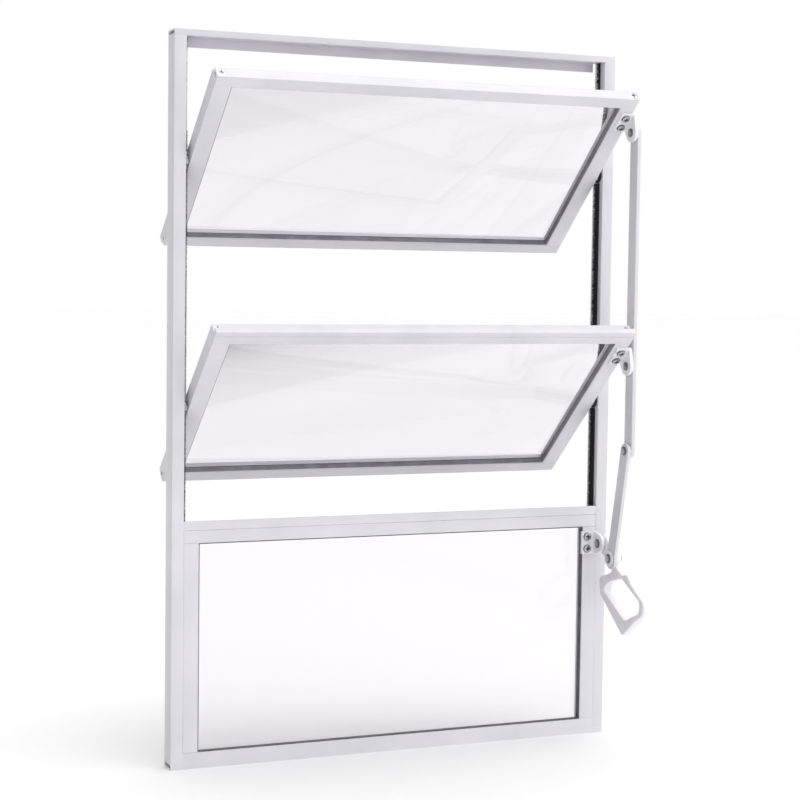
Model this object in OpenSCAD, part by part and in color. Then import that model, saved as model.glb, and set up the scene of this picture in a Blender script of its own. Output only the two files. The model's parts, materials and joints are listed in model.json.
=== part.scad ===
// Tilting window with two centre-hung vents over a fixed light.
// One lever on the room side moves both vents through a flat coupling bar.
// X runs across the window, Y runs from the room to the outside, Z is up.
// The origin is the centre of the sill's underside. The vents are drawn open.

/* [Outer frame] */
// Overall width
frame_width = 400; // [380:1:600]
// Overall height
frame_height = 600; // [560:1:700]
// Depth from room face to outside face
frame_depth = 18; // [17:0.5:30]
// Height of the box part of the head and the sill
box_height = 5; // [4:0.5:8]
// Wall of the box part
box_wall = 1.2; // [0.8:0.1:1.6]
// Face width of the jambs
jamb_face = 10; // [9:0.5:14]
// Wall of the jambs
jamb_wall = 1.3; // [1:0.1:2]
// Thickness of the upright flanges
flange = 1.4; // [1:0.1:1.4]
// Height of the flange standing on the sill
sill_flange = 8.3; // [5:0.1:12]
// Drop of the flange behind the head
head_flange = 7.5; // [5:0.1:9]
// Side clearance of the head flange
head_flange_inset = 3; // [2:0.5:12]

/* [Transom and fixed light] */
// Height of the seam between transom and fixed light
transom_z = 196.5; // [180:0.5:230]
// Height of the transom's room-side flange
transom_flange = 7.7; // [4:0.1:9]
// Web thickness of the transom
transom_web = 1.5; // [1:0.1:3]
// Drop of the transom's outside flange
transom_drop = 7; // [4:0.5:10]
// Depth of the fixed light's members
light_depth = 12; // [11:0.5:15]
// Face height of the fixed top rail
light_rail = 10.5; // [9:0.5:16]
// Face width of the fixed stiles
light_stile = 13; // [11:0.5:18]

/* [Glazing] */
// Glass thickness
glass = 3; // [3:0.5:4]
// Setback of the glass behind the member's face
glass_setback = 5; // [4.5:0.1:6]
// Depth of the glass groove in rails
rail_groove = 5; // [4:0.5:6]
// Depth of the glass groove in stiles
stile_groove = 6; // [5:0.5:7]
// Gap around the glass edge in the groove
glass_gap = 0.8; // [0.5:0.1:2]
// Width of gasket standing proud beside the members
gasket_lip = 0.8; // [0.5:0.1:2]
// Setback of the gasket's lip behind the member's face
gasket_front = 0.6; // [0.3:0.1:2]
// Gasket thickness in front of the glass
gasket_bed = 1; // [0.6:0.1:1.5]

/* [Vents] */
// Angle at which the vents stand open
open_angle = 49; // [20:1:60]
// Gap between the upper vent and the head
top_gap = 0.7; // [0.6:0.1:3]
// Gap between the lower vent and the transom
bottom_gap = 1; // [0.9:0.1:3]
// Shortfall of the upper vent's top edge from a quarter of the vents' opening
upper_shift = 1.25; // [1:0.05:4]
// Shortfall of the lower vent's bottom edge from a quarter of the vents' opening
lower_shift = 0.95; // [0.8:0.05:4]
// Height of the upper vent's top rail, which sets the inner edge of both top rails
top_rail = 10.8; // [10:0.1:14]
// Height of the lower vent's bottom rail, which sets the inner edge of both bottom rails
bottom_rail = 11.9; // [11:0.1:15]
// Depth of the pivots behind the room face
pivot_y = 8.5; // [8:0.1:9]
// Gap between a vent and each jamb
side_gap = 4; // [3.5:0.1:6]
// Face of the vent in front of its pivot
vent_front = 5.5; // [5:0.1:6]
// Thickness of the vent members
vent_thick = 13.2; // [12:0.1:13.2]
// Face width of the vent stiles
vent_stile = 14; // [13:0.5:18]
// Depth of the rebate behind the upper top rail
rear_rebate = 3.6; // [2:0.1:4]
// Height of that rebate
rear_rebate_h = 4.6; // [2:0.1:6]

// Outer wall of a rail's end chamber
rail_wall = 1.6; // [1.2:0.1:2]
// Web between a rail's chamber and its groove
rail_web = 1.2; // [0.8:0.1:1.6]

/* [Meeting rails] */
// Half gap between the faces of the two meeting rails
meeting_gap = 2.25; // [2:0.05:4]
// Depth of the upper vent's rear edge, which hangs lower than its front one
meeting_tongue = 7.3; // [7.2:0.1:7.6]
// Drop of that rear edge
meeting_step = 3.5; // [2:0.1:3.6]
// Half gap between the rear of the upper rail and the lower rail's top
meeting_clear = 3.25; // [3:0.05:5]
// Rise of the lip above the lower rail's top
meeting_rise = 5.2; // [3:0.1:5.2]
// Thickness of the lip
lip_thick = 4.6; // [3:0.1:4.6]
// Setback of the lip behind the vent's face
lip_setback = 0.5; // [0.3:0.1:0.5]

/* [Pivots] */
// Radius of the vent pivot pins
pivot_r = 3; // [2.5:0.1:3.5]
// Radius of the bush body
bush_r = 5; // [4.5:0.1:5]
// Radius of the bush collar
bush_collar_r = 6.2; // [5.5:0.1:7]
// Depth of the bush in the jamb
bush_seat = 2.3; // [1.8:0.1:3]
// Shoulder of the pivot pin that spaces the vent from the bush
pin_shoulder = 1.5; // [1:0.1:2]
// Thickness of the bush collar
bush_collar = 1; // [0.8:0.1:1.5]
// Depth of the pivot pins in the vent stiles
pin_depth = 6.5; // [5:0.5:7]
// Running clearance on radius
running = 0.05; // [0.02:0.01:0.09]

/* [Weather pile] */
// Start of the pile behind the room face
pile_y = 5.5; // [5:0.1:6]
// Width of the pile strip
pile_width = 6.2; // [5:0.1:7]
// Reach of the pile from the jamb
pile_reach = 3.4; // [2:0.1:3.4]
// Half height of the pile's gap at each pivot
pile_gap = 6.6; // [6.4:0.1:10]
// Height above the upper pivot where the wide pile ends and the narrow fin begins
pile_change = 23.7; // [10:0.1:40]
// Width of the narrow fin above it
fin_width = 2.4; // [1.5:0.1:4]
// Depth of the fin behind the room face
fin_y = 8; // [7:0.1:10]
// Reach of the fin
fin_reach = 3.4; // [1.5:0.1:3.6]

/* [Linkage] */
// Coupling pins above the vent pivot, along the vent
pin_up = 69; // [60:0.5:80]
// Coupling pins in front of the vent pivot
pin_out = 15.5; // [15:0.1:17]
// Width of the flat bar and the link
bar_width = 12.5; // [10:0.1:12.8]
// Thickness of the flat bar
bar_thick = 3.2; // [2.5:0.1:3.5]
// Thickness of the link
link_thick = 3.1; // [2.5:0.1:3.1]
// Height of the pin joining bar and link
link_pin_z = 258; // [250:0.5:270]
// Radius of the eye at the link's lower end
link_eye_r = 7.6; // [7:0.1:9]
// Radius of the linkage rivets
rivet_r = 2.5; // [2:0.1:3]
// Radius of the rivet heads
rivet_head_r = 3.6; // [3.2:0.1:4.5]
// Radius of the link pin's head
link_head_r = 4; // [3.2:0.1:4.5]
// Free play of the open pivot on radius
open_play = 2.3; // [2.2:0.1:2.6]
// Turn of the drawn link from its exact line
link_trim = -1.051; // [-2:0.001:2]

/* [Brackets] */
// Half height of the bracket's base plate
base_half = 10; // [9:0.5:14]
// Thickness of the base plate
base_thick = 2.5; // [2:0.1:3]
// Distance of the base plate's edge from the jamb line
base_left = 15; // [13:0.5:18]
// Thickness of the ear
ear_thick = 3; // [2.5:0.1:3.2]
// Gap between ear and jamb line
ear_gap = 0.6; // [0.4:0.1:1]
// Radius of the ear's nose
ear_r = 8; // [7:0.1:9]
// Sag of the pin below the base centre on the vent brackets
vent_ear_sag = 3.5; // [0:0.5:5]
// Distance of the bracket screws from the jamb line
screw_inset = 10; // [9:0.5:12]
// Half spacing of the bracket screws
screw_half = 5.4; // [4.5:0.1:7]

/* [Lever] */
// Height of the lever's pivot
lever_z = 172; // [160:0.5:185]
// Distance of the lever's pivot in front of the frame
lever_out = 10; // [9.5:0.1:12]
// Distance between lever pivot and link pin
lever_arm = 24; // [20:0.1:28]
// Angle of the lever arm below level when open
lever_drop = 29; // [20:1:40]
// Turn of the drawn lever from its exact line
lever_trim = -3.227; // [-5:0.001:5]
// Thickness of the lever
lever_thick = 6; // [5:0.1:8]
// Radius of the lever's hub
hub_r = 8; // [7:0.1:8.5]
// Radius of the lever's pivot rivet
lever_pin_r = 3; // [2.5:0.1:3.5]
// Radius of the boss around the link pin
boss_r = 5.6; // [5:0.1:7.5]
// Radius of the washer on the link pin
washer_r = 7; // [6:0.1:7.5]
// Thickness of that washer
washer_thick = 0.8; // [0.5:0.1:1]
// Extra thickness of the finger grip
grip_extra = 2.6; // [1:0.1:3]

/* [Screws] */
// Shank radius of all screws
shank_r = 1.6; // [1.3:0.1:1.8]
// Head radius of the bracket screws
pan_r = 3.7; // [3:0.1:4]
// Head height of the bracket screws
pan_h = 2.2; // [1.5:0.1:3]
// Share of that height taken by the straight rim
pan_rim = 0.45; // [0.2:0.05:0.6]
// Share of the head radius that is left at the top
pan_top = 0.62; // [0.6:0.01:0.8]
// Head radius of the countersunk screws
csk_r = 3.2; // [2.8:0.1:3.3]
// Head radius of the upper vent's top countersunk screws
top_csk_r = 3.9; // [2.8:0.1:4]
// Head depth of a countersunk screw per unit of its overhang
csk_slope = 1.12; // [1:0.01:1.3]
// Reach of the cross recess from the screw's axis
recess_arm = 2.1; // [1.5:0.1:2.2]
// Half width of the cross recess
recess_half = 0.5; // [0.3:0.1:0.6]
// Depth of the cross recess
recess_depth = 0.9; // [0.5:0.1:1]
// Length of the corner screws
corner_length = 17; // [15:0.5:18]
// Length of the bracket screws
bracket_length = 5.5; // [4.5:0.1:5.8]
// Distance of the vent corner screws from the vent's side
corner_inset = 4.4; // [4:0.1:5]
// Distance of the lower top rail's screws from the vent's rear face
lower_top_back = 4.2; // [3.6:0.1:4.5]
// Distance of the bottom rails' screws from the vent's rear face
bottom_back = 3.8; // [3.5:0.1:4]
// Distance of the frame's screws from its sides
port_side = 4.6; // [4:0.1:5]
// Distance of the frame's screws from its outside face
port_back = 3.6; // [3.5:0.1:5]
// Radius of the screw ports' walls
port_r = 2.8; // [2.5:0.1:3]
// Half thickness of the web that holds a screw port
port_web = 0.8; // [0.5:0.1:1.2]

/* [Hidden] */
$fn = 48;
head_gap = 0.3;
half = frame_width / 2;
inner = half - jamb_face;
vent_half = inner - side_gap;
stile_in = vent_half - vent_stile;
vent_rear = vent_thick - vent_front;
vent_area = frame_height - box_height - transom_z - transom_web;
quarter = vent_area / 4;
vent_top = quarter - upper_shift;
lower_bottom = quarter - lower_shift;
top_inner = vent_top - top_rail;
bottom_inner = lower_bottom - bottom_rail;
upper_pivot_z = frame_height - box_height - top_gap - vent_top;
lower_pivot_z = transom_z + transom_web + bottom_gap + lower_bottom;
pile_change_z = upper_pivot_z + pile_change;
meeting_front = quarter - meeting_gap;
meeting_rear = meeting_front + meeting_step;
meeting_top = quarter - meeting_clear;
meeting_lip = meeting_top + meeting_rise;
groove_front = glass_setback - gasket_bed;
jamb_bottom = box_height;
jamb_top = frame_height - box_height;
light_in = inner - light_stile;
light_top = transom_z - light_rail;
sill_top = box_height + sill_flange;
light_glass_y = 5.4;
port_x = half - port_side;
port_y = frame_depth - port_back;
corner_x = vent_half - corner_inset;
upper_top_screw = [(vent_rear - rear_rebate - vent_front) / 2, vent_top];
upper_bottom_screw = [vent_rear - bottom_back, meeting_rear];
lower_top_screw = [vent_rear - lower_top_back, meeting_top];
lower_bottom_screw = [vent_rear - bottom_back, lower_bottom];
cos_o = cos(open_angle);
sin_o = sin(open_angle);
bar_y = pivot_y - pin_up * sin_o - pin_out * cos_o;
pin_rise = pin_up * cos_o - pin_out * sin_o;
ear_x = inner - ear_gap - ear_thick;
link_x = inner - head_gap - link_thick;
head_thick = 1.7;
washer_x = link_x - inner - head_gap - washer_thick;
lever_y = -lever_out;
exact_y = lever_y - lever_arm * cos(lever_drop);
exact_z = lever_z - lever_arm * sin(lever_drop);
link_length = sqrt(pow(bar_y - exact_y, 2) + pow(link_pin_z - exact_z, 2));
link_lean = atan2(exact_y - bar_y, link_pin_z - exact_z) + link_trim;
lever_turn = lever_drop + lever_trim;

// Corners of the lever's finger loop and of its hole: along the arm from the link pin, above it,
// and radius
loop_corners = [[2, -4.3, 1], [-20, -4.4, 5], [-26.5, 1, 4], [-37, -3.2, 10], [-62, -5, 7],
    [-66, -14.5, 7], [-48.5, -49, 4.5], [2, -38.5, 8], [10, -26.5, 5], [-3.5, -11, 5],
    [4, -7, 1]];
hole_corners = [[-6, -20.5, 8], [-19.8, -7.8, 5], [-56, -8.6, 4], [-58.5, -17.5, 6],
    [-46, -34.5, 9], [-1, -32, 4]];
// Corners of the part of the loop that is thicker, for the fingers
grip_corners = [[-11, -60], [-14, -25], [-68, -21], [-68, -60]];
arm_half = 5.5;

white = [0.93, 0.93, 0.94];
steel = [0.72, 0.73, 0.75];
black = [0.05, 0.05, 0.05];
clear = [0.85, 0.9, 0.9, 0.35];
nylon = [0.2, 0.2, 0.2];

// Box between two corners
module box(a, b) {
    translate(a)
        cube([b[0] - a[0], b[1] - a[1], b[2] - a[2]]);
}

// Cylinder along X between two X values
module rod(x0, x1, r) {
    translate([x0, 0, 0])
        rotate([0, 90, 0])
            cylinder(h = x1 - x0, r = r);
}

// Moves from the room face to the centre of the depth
module framed() {
    translate([0, -frame_depth / 2, 0])
        children();
}

// Unit vector along v
function unit(v) = v / norm(v);

// Points of the arc of radius r that rounds the corner at b between a and c
function arc(a, b, c, r) =
    let (u = unit(a - b), v = unit(c - b), bend = acos(u * v) / 2)
    let (m = b + unit(u + v) * r / sin(bend), reach = r / tan(bend))
    let (p = b + u * reach - m, q = b + v * reach - m)
    let (start = atan2(p[1], p[0]), sweep = (atan2(q[1], q[0]) - start + 540) % 360 - 180)
    [for (i = [0:6]) m + r * [cos(start + sweep * i / 6), sin(start + sweep * i / 6)]];

// Outline drawn from the link pin, moved to the lever's pivot
function from_pin(k) = [for (c = k) concat(c[0] - lever_arm, [for (i = [1:len(c) - 1]) c[i]])];

// Closed outline whose corners are rounded
function rounded(k) =
    let (n = len(k), at = [for (c = k) [c[0], c[1]]])
    [for (i = [0:n - 1])
        for (p = arc(at[(i + n - 1) % n], at[i], at[(i + 1) % n], k[i][2])) p];

// Places a part drawn around a vent's pivot, with the vent open
module vented(z) {
    framed()
        translate([0, pivot_y, z])
            rotate([open_angle, 0, 0])
                children();
}

// Mirrors a part to the left as well
module both_sides() {
    children();
    mirror([1, 0, 0])
        children();
}

// Countersunk screw pointing down from its face at Z zero
module csk_screw(head = csk_r) {
    depth = (head - shank_r) * csk_slope;
    difference() {
        union() {
            translate([0, 0, -depth])
                cylinder(h = depth, r1 = shank_r, r2 = head);
            translate([0, 0, -corner_length])
                cylinder(h = corner_length - depth, r = shank_r);
        }
        cross_recess(recess_depth);
    }
}

// Countersunk hole for that screw through a wall
module csk_hole(length, head = csk_r) {
    depth = (head - shank_r) * csk_slope;
    translate([0, 0, -depth])
        cylinder(h = depth, r1 = shank_r, r2 = head);
    translate([0, 0, -length])
        cylinder(h = length - depth, r = shank_r);
}

// Cross slot of a screw head
module cross_recess(depth) {
    for (turn = [0, 90])
        rotate([0, 0, turn])
            box([-recess_arm, -recess_half, -depth], [recess_arm, recess_half, 1]);
}

// Pan screw whose head stands on Z zero
module pan_screw() {
    difference() {
        union() {
            cylinder(h = pan_h * pan_rim, r = pan_r);
            translate([0, 0, pan_h * pan_rim])
                cylinder(h = pan_h * (1 - pan_rim), r1 = pan_r, r2 = pan_r * pan_top);
            translate([0, 0, -bracket_length])
                cylinder(h = bracket_length, r = shank_r);
        }
        translate([0, 0, pan_h])
            cross_recess(recess_depth);
    }
}

// Rectangular ring between two half sizes, extruded through Y
module ring(x_in, zb_in, zt_in, x_out, zb_out, zt_out, y0, y1) {
    difference() {
        box([-x_out, y0, zb_out], [x_out, y1, zt_out]);
        box([-x_in, y0 - 1, zb_in], [x_in, y1 + 1, zt_in]);
    }
}

// Head: open-ended box with a flange behind
module head() {
    color(white) framed() difference() {
        union() {
            box([-half, 0, jamb_top], [half, frame_depth, frame_height]);
            box([-(inner - head_flange_inset), frame_depth - flange, jamb_top - head_flange],
                [inner - head_flange_inset, frame_depth, jamb_top]);
        }
        box([-half - 1, box_wall, jamb_top + box_wall],
            [half + 1, frame_depth - box_wall, frame_height - box_wall]);
        both_sides() translate([port_x, port_y, frame_height])
            csk_hole(box_height + 1);
    }
}

// Sill: the same box with its flange on the room side
module sill() {
    color(white) framed() difference() {
        union() {
            box([-half, 0, 0], [half, frame_depth, box_height]);
            box([-inner, 0, box_height], [inner, flange, sill_top]);
        }
        box([-half - 1, box_wall, box_wall],
            [half + 1, frame_depth - box_wall, box_height - box_wall]);
        both_sides() translate([port_x, port_y, 0]) rotate([180, 0, 0])
            csk_hole(box_height + 1);
    }
}

// Right jamb: hollow upright with a screw port
module jamb() {
    difference() {
        box([inner, 0, jamb_bottom], [half, frame_depth, jamb_top]);
        difference() {
            box([inner + jamb_wall, jamb_wall, jamb_bottom - 1],
                [half - jamb_wall, frame_depth - jamb_wall, jamb_top + 1]);
            translate([port_x, port_y, jamb_bottom - 2])
                cylinder(h = frame_height, r = port_r);
            box([port_x, port_y - port_web, jamb_bottom - 2],
                [half, port_y + port_web, frame_height]);
        }
        translate([port_x, port_y, jamb_bottom - 1])
            cylinder(h = frame_height, r = shank_r);
        for (z = [lower_pivot_z, upper_pivot_z])
            translate([inner, pivot_y, z])
                rod(-1, jamb_wall + 0.2, bush_r);
    }
}

module jamb_left() {
    color(white) framed() mirror([1, 0, 0]) jamb();
}

module jamb_right() {
    color(white) framed() jamb();
}

// Room side of the transom, which stands in front of the lower vent's bottom edge
module transom_front() {
    color(white) framed()
        box([-inner, 0, transom_z], [inner, flange, transom_z + transom_flange]);
}

// Rest of the transom: web across and outside flange down
module transom() {
    web_top = transom_z + transom_web;
    color(white) framed() union() {
        box([-inner, flange, transom_z], [inner, frame_depth, web_top]);
        box([-inner, frame_depth - flange, transom_z - transom_drop],
            [inner, frame_depth, web_top]);
    }
}

// Groove cutter for the fixed glass
module light_groove() {
    box([-light_in - stile_groove, light_glass_y - gasket_bed, sill_top - rail_groove],
        [light_in + stile_groove, light_glass_y + glass, light_top + rail_groove]);
}

module light_top_rail() {
    color(white) framed() difference() {
        box([-inner, 0, light_top], [inner, light_depth, transom_z]);
        light_groove();
    }
}

module light_bottom_rail() {
    color(white) framed() difference() {
        box([-light_in, flange, box_height], [light_in, light_depth, sill_top]);
        light_groove();
    }
}

module light_stile() {
    difference() {
        union() {
            box([light_in, 0, sill_top], [inner, flange, light_top]);
            box([light_in, flange, box_height], [inner, light_depth, light_top]);
        }
        light_groove();
    }
}

module light_stile_left() {
    color(white) framed() mirror([1, 0, 0]) light_stile();
}

module light_stile_right() {
    color(white) framed() difference() {
        light_stile();
        screw_holes(lever_z);
    }
}

module light_glass() {
    x = light_in + stile_groove - glass_gap;
    color(clear) framed()
        box([-x, light_glass_y, sill_top - rail_groove + glass_gap],
            [x, light_glass_y + glass, light_top + rail_groove - glass_gap]);
}

// Gasket of the fixed light: a bed against the glass and a lip beside the members
module light_gasket() {
    x = light_in + stile_groove - glass_gap;
    g = gasket_lip;
    color(black) framed() union() {
        ring(light_in - g, sill_top + g, light_top - g, light_in, sill_top, light_top,
            gasket_front, light_glass_y);
        ring(light_in - g, sill_top + g, light_top - g,
            x, sill_top - rail_groove + glass_gap, light_top + rail_groove - glass_gap,
            light_glass_y - gasket_bed, light_glass_y);
    }
}

// Weather pile on a jamb's inner face, interrupted at the pivots
module pile() {
    difference() {
        box([inner - pile_reach, pile_y, transom_z + transom_web],
            [inner, pile_y + pile_width, pile_change_z]);
        for (z = [lower_pivot_z, upper_pivot_z])
            box([inner - pile_reach - 1, 0, z - pile_gap], [inner + 1, frame_depth, z + pile_gap]);
    }
}

module pile_left() {
    color(black) framed() mirror([1, 0, 0]) pile();
}

module pile_right() {
    color(black) framed() pile();
}

module fin() {
    box([inner - fin_reach, fin_y, pile_change_z], [inner, fin_y + fin_width, jamb_top]);
}

module fin_left() {
    color(black) framed() mirror([1, 0, 0]) fin();
}

module fin_right() {
    color(black) framed() fin();
}

// Nylon bushes pressed into the jambs
module bush() {
    difference() {
        union() {
            rod(inner - bush_collar, inner, bush_collar_r);
            rod(inner, inner + bush_seat, bush_r);
        }
        rod(inner - bush_collar - 1, inner + bush_seat + 1, pivot_r + running);
    }
}

module pivot_bushes() {
    color(nylon) framed() both_sides()
        for (z = [lower_pivot_z, upper_pivot_z])
            translate([0, pivot_y, z]) bush();
}

module frame_screws() {
    color(steel) framed() both_sides() {
        translate([port_x, port_y, frame_height]) csk_screw();
        translate([port_x, port_y, 0]) rotate([180, 0, 0]) csk_screw();
    }
}

// Angle bracket: base against the plane Y zero, ear towards the room
module bracket(sag, pin_gap, pin_r) {
    difference() {
        union() {
            box([inner - base_left, -base_thick, -base_half],
                [ear_x + ear_thick, 0, base_half]);
            hull() {
                box([ear_x, -base_thick, -base_half], [ear_x + ear_thick, 0, base_half]);
                translate([0, -pin_gap, -sag]) rod(ear_x, ear_x + ear_thick, ear_r);
            }
        }
        translate([0, -pin_gap, -sag]) rod(ear_x - 1, ear_x + ear_thick + 1, pin_r);
        for (s = [-1, 1])
            translate([inner - screw_inset, 1, s * screw_half]) rotate([90, 0, 0])
                cylinder(h = base_thick + 2, r = shank_r);
    }
}

module bracket_screws() {
    for (s = [-1, 1])
        translate([inner - screw_inset, -base_thick, s * screw_half]) rotate([90, 0, 0])
            pan_screw();
}

module screw_holes(z) {
    for (s = [-1, 1])
        translate([inner - screw_inset, 0, z + s * screw_half]) rotate([-90, 0, 0])
            cylinder(h = bracket_length - base_thick, r = shank_r);
}

// Rivet with a head at each end, along X
module rivet(x0, x1, r, head) {
    rod(x0 - head_thick, x0, head);
    rod(x0 - 0.5, x1 + 0.5, r);
    rod(x1, x1 + head_thick, head);
}

module lever_bracket() {
    color(white) framed() translate([0, 0, lever_z]) bracket(0, lever_out, lever_pin_r);
}

module lever_bracket_screws() {
    color(steel) framed() translate([0, 0, lever_z]) bracket_screws();
}

module lever_rivet() {
    color(steel) framed() translate([0, lever_y, lever_z])
        rivet(ear_x, inner + lever_thick + head_gap, lever_pin_r, rivet_head_r + 0.4);
}

// Groove cutter for a vent's glass, drawn around the pivot
module vent_groove() {
    y0 = groove_front - vent_front;
    y1 = glass_setback + glass - vent_front;
    box([-stile_in - stile_groove, y0, -bottom_inner - rail_groove],
        [stile_in + stile_groove, y1, top_inner + rail_groove]);
}

// Chamber along a rail, open at both ends
module rail_chamber(z0, z1) {
    box([-vent_half - 1, groove_front - vent_front, z0],
        [vent_half + 1, glass_setback + glass - vent_front, z1]);
}

// Puts a vent's two screws of one rail at their [depth, distance from the pivot]
module at_corners(screw, below = false) {
    both_sides()
        translate([corner_x, screw[0], below ? -screw[1] : screw[1]])
            rotate([below ? 180 : 0, 0, 0])
                children();
}

module corner_holes(screw, below = false, head = csk_r) {
    at_corners(screw, below) csk_hole(corner_length, head);
}

module upper_top_rail() {
    color(white) vented(upper_pivot_z) difference() {
        box([-vent_half, -vent_front, top_inner], [vent_half, vent_rear, vent_top]);
        box([-vent_half - 1, vent_rear - rear_rebate, vent_top - rear_rebate_h],
            [vent_half + 1, vent_rear + 1, vent_top + 1]);
        vent_groove();
        rail_chamber(top_inner + rail_groove + rail_web, vent_top - rail_wall);
        corner_holes(upper_top_screw, head = top_csk_r);
    }
}

module upper_bottom_rail() {
    color(white) vented(upper_pivot_z) difference() {
        box([-vent_half, -vent_front, -meeting_rear], [vent_half, vent_rear, -bottom_inner]);
        box([-vent_half - 1, -vent_front - 1, -meeting_rear - 1],
            [vent_half + 1, vent_rear - meeting_tongue, -meeting_front]);
        vent_groove();
        rail_chamber(-meeting_front + rail_wall, -bottom_inner - rail_groove - rail_web);
        corner_holes(upper_bottom_screw, true);
    }
}

module lower_top_rail() {
    color(white) vented(lower_pivot_z) difference() {
        union() {
            box([-vent_half, -vent_front, top_inner], [vent_half, vent_rear, meeting_top]);
            box([-vent_half, lip_setback - vent_front, meeting_top - 1],
                [vent_half, lip_setback - vent_front + lip_thick, meeting_lip]);
        }
        vent_groove();
        corner_holes(lower_top_screw);
    }
}

module lower_bottom_rail() {
    color(white) vented(lower_pivot_z) difference() {
        box([-vent_half, -vent_front, -lower_bottom], [vent_half, vent_rear, -bottom_inner]);
        vent_groove();
        rail_chamber(-lower_bottom + rail_wall, -bottom_inner - rail_groove - rail_web);
        corner_holes(lower_bottom_screw, true);
    }
}

// Right stile of a vent, with screw ports and the pivot pin's hole
module vent_stile(top_screw, bottom_screw) {
    difference() {
        box([stile_in, -vent_front, -bottom_inner], [vent_half, vent_rear, top_inner]);
        vent_groove();
        corner_holes(top_screw);
        corner_holes(bottom_screw, true);
        rod(vent_half - pin_depth, vent_half + 1, pivot_r);
    }
}

module bracket_side_stile(top_screw, bottom_screw) {
    difference() {
        vent_stile(top_screw, bottom_screw);
        translate([0, -vent_front, 0]) screw_holes(pin_up + vent_ear_sag);
    }
}

module upper_stile_left() {
    color(white) vented(upper_pivot_z) mirror([1, 0, 0])
        vent_stile(upper_top_screw, upper_bottom_screw);
}

module upper_stile_right() {
    color(white) vented(upper_pivot_z)
        bracket_side_stile(upper_top_screw, upper_bottom_screw);
}

module lower_stile_left() {
    color(white) vented(lower_pivot_z) mirror([1, 0, 0])
        vent_stile(lower_top_screw, lower_bottom_screw);
}

module lower_stile_right() {
    color(white) vented(lower_pivot_z)
        bracket_side_stile(lower_top_screw, lower_bottom_screw);
}

module vent_glass() {
    x = stile_in + stile_groove - glass_gap;
    y = glass_setback - vent_front;
    box([-x, y, -bottom_inner - rail_groove + glass_gap],
        [x, y + glass, top_inner + rail_groove - glass_gap]);
}

module upper_glass() {
    color(clear) vented(upper_pivot_z) vent_glass();
}

module lower_glass() {
    color(clear) vented(lower_pivot_z) vent_glass();
}

// Gasket of a vent: a bed against the glass and a lip beside the members
module vent_gasket() {
    x = stile_in + stile_groove - glass_gap;
    y = glass_setback - vent_front;
    g = gasket_lip;
    ring(stile_in - g, -bottom_inner + g, top_inner - g, stile_in, -bottom_inner, top_inner,
        gasket_front - vent_front, y);
    ring(stile_in - g, -bottom_inner + g, top_inner - g,
        x, -bottom_inner - rail_groove + glass_gap, top_inner + rail_groove - glass_gap,
        y - gasket_bed, y);
}

module upper_gasket() {
    color(black) vented(upper_pivot_z) vent_gasket();
}

module lower_gasket() {
    color(black) vented(lower_pivot_z) vent_gasket();
}

module upper_corner_screws() {
    color(steel) vented(upper_pivot_z) {
        at_corners(upper_top_screw) csk_screw(top_csk_r);
        at_corners(upper_bottom_screw, true) csk_screw();
    }
}

module lower_corner_screws() {
    color(steel) vented(lower_pivot_z) {
        at_corners(lower_top_screw) csk_screw();
        at_corners(lower_bottom_screw, true) csk_screw();
    }
}

// Pivot pins with a spacing shoulder
module pivot_pins() {
    both_sides() {
        rod(vent_half - pin_depth, inner + bush_seat - head_gap, pivot_r);
        rod(vent_half, inner - bush_collar - head_gap, pivot_r + pin_shoulder);
    }
}

module upper_pivot_pins() {
    color(steel) vented(upper_pivot_z) pivot_pins();
}

module lower_pivot_pins() {
    color(steel) vented(lower_pivot_z) pivot_pins();
}

// Vent bracket and what goes with it, drawn around the pivot
module vent_bracket() {
    translate([0, -vent_front, pin_up + vent_ear_sag])
        bracket(vent_ear_sag, pin_out - vent_front, rivet_r);
}

module vent_bracket_screws() {
    translate([0, -vent_front, pin_up + vent_ear_sag]) bracket_screws();
}

module vent_rivet() {
    translate([0, -pin_out, pin_up])
        rivet(ear_x, inner + bar_thick + head_gap, rivet_r, rivet_head_r);
}

module upper_bracket() {
    color(white) vented(upper_pivot_z) vent_bracket();
}

module upper_bracket_screws() {
    color(steel) vented(upper_pivot_z) vent_bracket_screws();
}

module upper_rivet() {
    color(steel) vented(upper_pivot_z) vent_rivet();
}

module lower_bracket() {
    color(white) vented(lower_pivot_z) vent_bracket();
}

module lower_bracket_screws() {
    color(steel) vented(lower_pivot_z) vent_bracket_screws();
}

module lower_rivet() {
    color(steel) vented(lower_pivot_z) vent_rivet();
}

// Flat bar joining both vents, with rounded ends
module coupling_bar() {
    top = upper_pivot_z + pin_rise;
    color(white) framed() translate([0, bar_y, 0]) difference() {
        union() {
            box([inner, -bar_width / 2, link_pin_z], [inner + bar_thick, bar_width / 2, top]);
            for (z = [link_pin_z, top])
                translate([0, 0, z]) rod(inner, inner + bar_thick, bar_width / 2);
        }
        for (z = [lower_pivot_z + pin_rise, top])
            translate([0, 0, z]) rod(inner - 1, inner + bar_thick + 1, rivet_r + running);
        translate([0, 0, link_pin_z]) rod(inner - 1, inner + bar_thick + 1, rivet_r);
    }
}

module bar_rivet() {
    color(steel) framed() translate([0, bar_y, link_pin_z])
        rivet(link_x - head_gap, inner + bar_thick, rivet_r, rivet_head_r);
}

// Link hanging from the bar's lower pin
module link() {
    color(white) framed() translate([0, bar_y, link_pin_z]) rotate([link_lean, 0, 0])
        difference() {
            union() {
                box([link_x, -bar_width / 2, -link_length],
                    [link_x + link_thick, bar_width / 2, 0]);
                rod(link_x, link_x + link_thick, bar_width / 2);
                translate([0, 0, -link_length]) rod(link_x, link_x + link_thick, link_eye_r);
            }
            rod(link_x - 1, link_x + link_thick + 1, rivet_r + running);
            translate([0, 0, -link_length])
                rod(link_x - 1, link_x + link_thick + 1, rivet_r + open_play);
        }
}

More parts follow.
